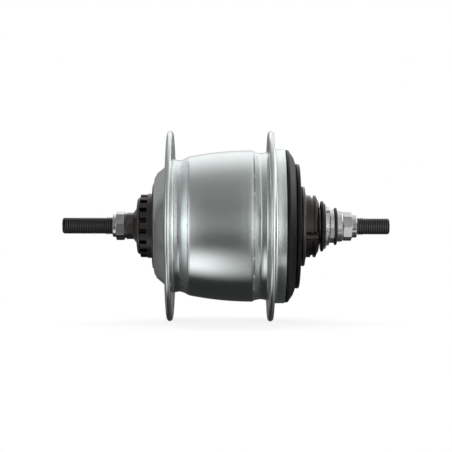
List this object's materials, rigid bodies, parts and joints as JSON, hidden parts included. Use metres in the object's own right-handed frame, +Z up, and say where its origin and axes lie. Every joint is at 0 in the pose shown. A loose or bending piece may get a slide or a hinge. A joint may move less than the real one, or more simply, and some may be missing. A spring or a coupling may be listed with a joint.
{
  "type": "internal gear hub",
  "caption": "Rear bicycle hub with planetary gears inside an aluminium shell, a driver for a sprocket on the right and a brake spline on the left.",
  "frame": {"origin": "middle of the axle, on its axis", "axes": "+Y along the axle to the left, non-drive side, +X forward, +Z up"},
  "size_m": [0.1032, 0.177, 0.1032],
  "materials": {
    "shell_alloy": "satin, turned",
    "black_steel": "black oxide",
    "brown_steel": "brown black oxide",
    "bright_steel": "bright zinc",
    "bearing_steel": "ground",
    "gear_steel": "hardened",
    "black_plastic": "moulded black",
    "seal_rubber": "black"
  },
  "bodies": {
    "axle_unit": {"axle": "black_steel", "left_lock_nut": "bright_steel", "left_lock_washer": "black_steel", "left_cone": "brown_steel", "left_dust_cap": "black_plastic", "right_cone": "bearing_steel", "driver_dust_disc": "black_steel", "stop_nut": "bright_steel", "retaining_ring": "black_steel", "spacer_collar": "bright_steel", "right_lock_nut": "bright_steel", "sun_gear_reduction": "gear_steel", "sun_gear_top": "gear_steel", "sun_pawls": "gear_steel", "axle_snap_rings": "black_steel", "return_spring": "bearing_steel"},
    "shifter": {"actuator_ring": "bright_steel", "control_arms": "gear_steel", "cam_ring": "gear_steel"},
    "driver_unit": {"driver": "brown_steel", "ring_gear_reduction": "gear_steel", "driver_seal": "seal_rubber", "dust_cap_large": "black_plastic", "dust_cap_small": "black_plastic", "driver_back_ring": "brown_steel"},
    "driver_bearing": {"driver_balls": "bearing_steel", "driver_ball_retainer": "bearing_steel"},
    "carrier": {"carrier_left_plate": "gear_steel", "carrier_body": "gear_steel", "carrier_right_plate": "gear_steel", "overdrive_planet_pins": "bearing_steel", "reduction_planet_pins": "bearing_steel", "clutch_rollers": "bearing_steel", "roller_cage": "bearing_steel", "carrier_screws": "black_steel"},
    "overdrive_planet_a": {"overdrive_planet_1": "gear_steel"},
    "overdrive_planet_b": {"overdrive_planet_2": "gear_steel"},
    "overdrive_planet_c": {"overdrive_planet_3": "gear_steel"},
    "reduction_planet_a": {"reduction_planet_1": "gear_steel"},
    "reduction_planet_b": {"reduction_planet_2": "gear_steel"},
    "reduction_planet_c": {"reduction_planet_3": "gear_steel"},
    "low_sun": {"sun_gear_low": "gear_steel"},
    "middle_sun": {"sun_gear_middle": "gear_steel"},
    "overdrive_ring": {"ring_gear_overdrive": "gear_steel", "drive_pawls": "gear_steel", "pawl_spring": "bearing_steel"},
    "shell_unit": {"hub_shell": "shell_alloy", "brake_spline_ring": "brown_steel", "left_ball_cup": "bearing_steel", "clutch_race": "bearing_steel", "ratchet_ring": "gear_steel", "right_ball_cup": "bearing_steel"},
    "left_bearing": {"left_balls": "bearing_steel", "left_ball_retainer": "bearing_steel"},
    "right_bearing": {"right_balls": "bearing_steel", "right_ball_retainer": "bearing_steel"}
  },
  "joints": [
    {"name": "shell_spin", "type": "hinge", "parent": "axle_unit", "child": "shell_unit", "pos_m": [0, 0, 0], "axis": [0, 1, 0], "continuous": true},
    {"name": "driver_spin", "type": "hinge", "parent": "axle_unit", "child": "driver_unit", "pos_m": [0, 0, 0], "axis": [0, 1, 0], "continuous": true},
    {"name": "carrier_spin", "type": "hinge", "parent": "axle_unit", "child": "carrier", "pos_m": [0, 0, 0], "axis": [0, 1, 0], "continuous": true},
    {"name": "overdrive_planet_a_spin", "type": "hinge", "parent": "carrier", "child": "overdrive_planet_a", "pos_m": [0, 0.00865, 0.02025], "axis": [0, 1, 0], "continuous": true},
    {"name": "reduction_planet_a_spin", "type": "hinge", "parent": "carrier", "child": "reduction_planet_a", "pos_m": [0, -0.01395, 0.0189], "axis": [0, 1, 0], "continuous": true},
    {"name": "overdrive_planet_b_spin", "type": "hinge", "parent": "carrier", "child": "overdrive_planet_b", "pos_m": [-0.01754, 0.00865, -0.01013], "axis": [0, 1, 0], "continuous": true},
    {"name": "reduction_planet_b_spin", "type": "hinge", "parent": "carrier", "child": "reduction_planet_b", "pos_m": [-0.01637, -0.01395, -0.00945], "axis": [0, 1, 0], "continuous": true},
    {"name": "overdrive_planet_c_spin", "type": "hinge", "parent": "carrier", "child": "overdrive_planet_c", "pos_m": [0.01754, 0.00865, -0.01013], "axis": [0, 1, 0], "continuous": true},
    {"name": "reduction_planet_c_spin", "type": "hinge", "parent": "carrier", "child": "reduction_planet_c", "pos_m": [0.01637, -0.01395, -0.00945], "axis": [0, 1, 0], "continuous": true},
    {"name": "low_sun_spin", "type": "hinge", "parent": "axle_unit", "child": "low_sun", "pos_m": [0, 0, 0], "axis": [0, 1, 0], "continuous": true},
    {"name": "middle_sun_spin", "type": "hinge", "parent": "axle_unit", "child": "middle_sun", "pos_m": [0, 0, 0], "axis": [0, 1, 0], "continuous": true},
    {"name": "overdrive_ring_spin", "type": "hinge", "parent": "axle_unit", "child": "overdrive_ring", "pos_m": [0, 0, 0], "axis": [0, 1, 0], "continuous": true},
    {"name": "left_bearing_spin", "type": "hinge", "parent": "axle_unit", "child": "left_bearing", "pos_m": [0, 0, 0], "axis": [0, 1, 0], "continuous": true},
    {"name": "right_bearing_spin", "type": "hinge", "parent": "axle_unit", "child": "right_bearing", "pos_m": [0, 0, 0], "axis": [0, 1, 0], "continuous": true},
    {"name": "driver_bearing_spin", "type": "hinge", "parent": "axle_unit", "child": "driver_bearing", "pos_m": [0, 0, 0], "axis": [0, 1, 0], "continuous": true},
    {"name": "shift_turn", "type": "hinge", "parent": "axle_unit", "child": "shifter", "pos_m": [0, 0, 0], "axis": [0, 1, 0], "range_deg": [-40, 40], "stiffness_Nm_per_rad": 0.03}
  ],
  "couplings": [
    {"joint": "driver_spin", "follows": "shell_spin", "ratio": 1.1693},
    {"joint": "carrier_spin", "follows": "shell_spin", "ratio": 0.6125},
    {"joint": "overdrive_planet_a_spin", "follows": "shell_spin", "ratio": 1.3562},
    {"joint": "reduction_planet_a_spin", "follows": "shell_spin", "ratio": 1.5312},
    {"joint": "overdrive_planet_b_spin", "follows": "shell_spin", "ratio": 1.3562},
    {"joint": "reduction_planet_b_spin", "follows": "shell_spin", "ratio": 1.5312},
    {"joint": "overdrive_planet_c_spin", "follows": "shell_spin", "ratio": 1.3562},
    {"joint": "reduction_planet_c_spin", "follows": "shell_spin", "ratio": 1.5312},
    {"joint": "low_sun_spin", "follows": "shell_spin", "ratio": -1.0828},
    {"joint": "middle_sun_spin", "follows": "shell_spin", "ratio": -0.29167},
    {"joint": "overdrive_ring_spin", "follows": "shell_spin", "ratio": 1},
    {"joint": "left_bearing_spin", "follows": "shell_spin", "ratio": 0.57513},
    {"joint": "right_bearing_spin", "follows": "shell_spin", "ratio": 1.0813},
    {"joint": "driver_bearing_spin", "follows": "shell_spin", "ratio": 0.67748}
  ]
}
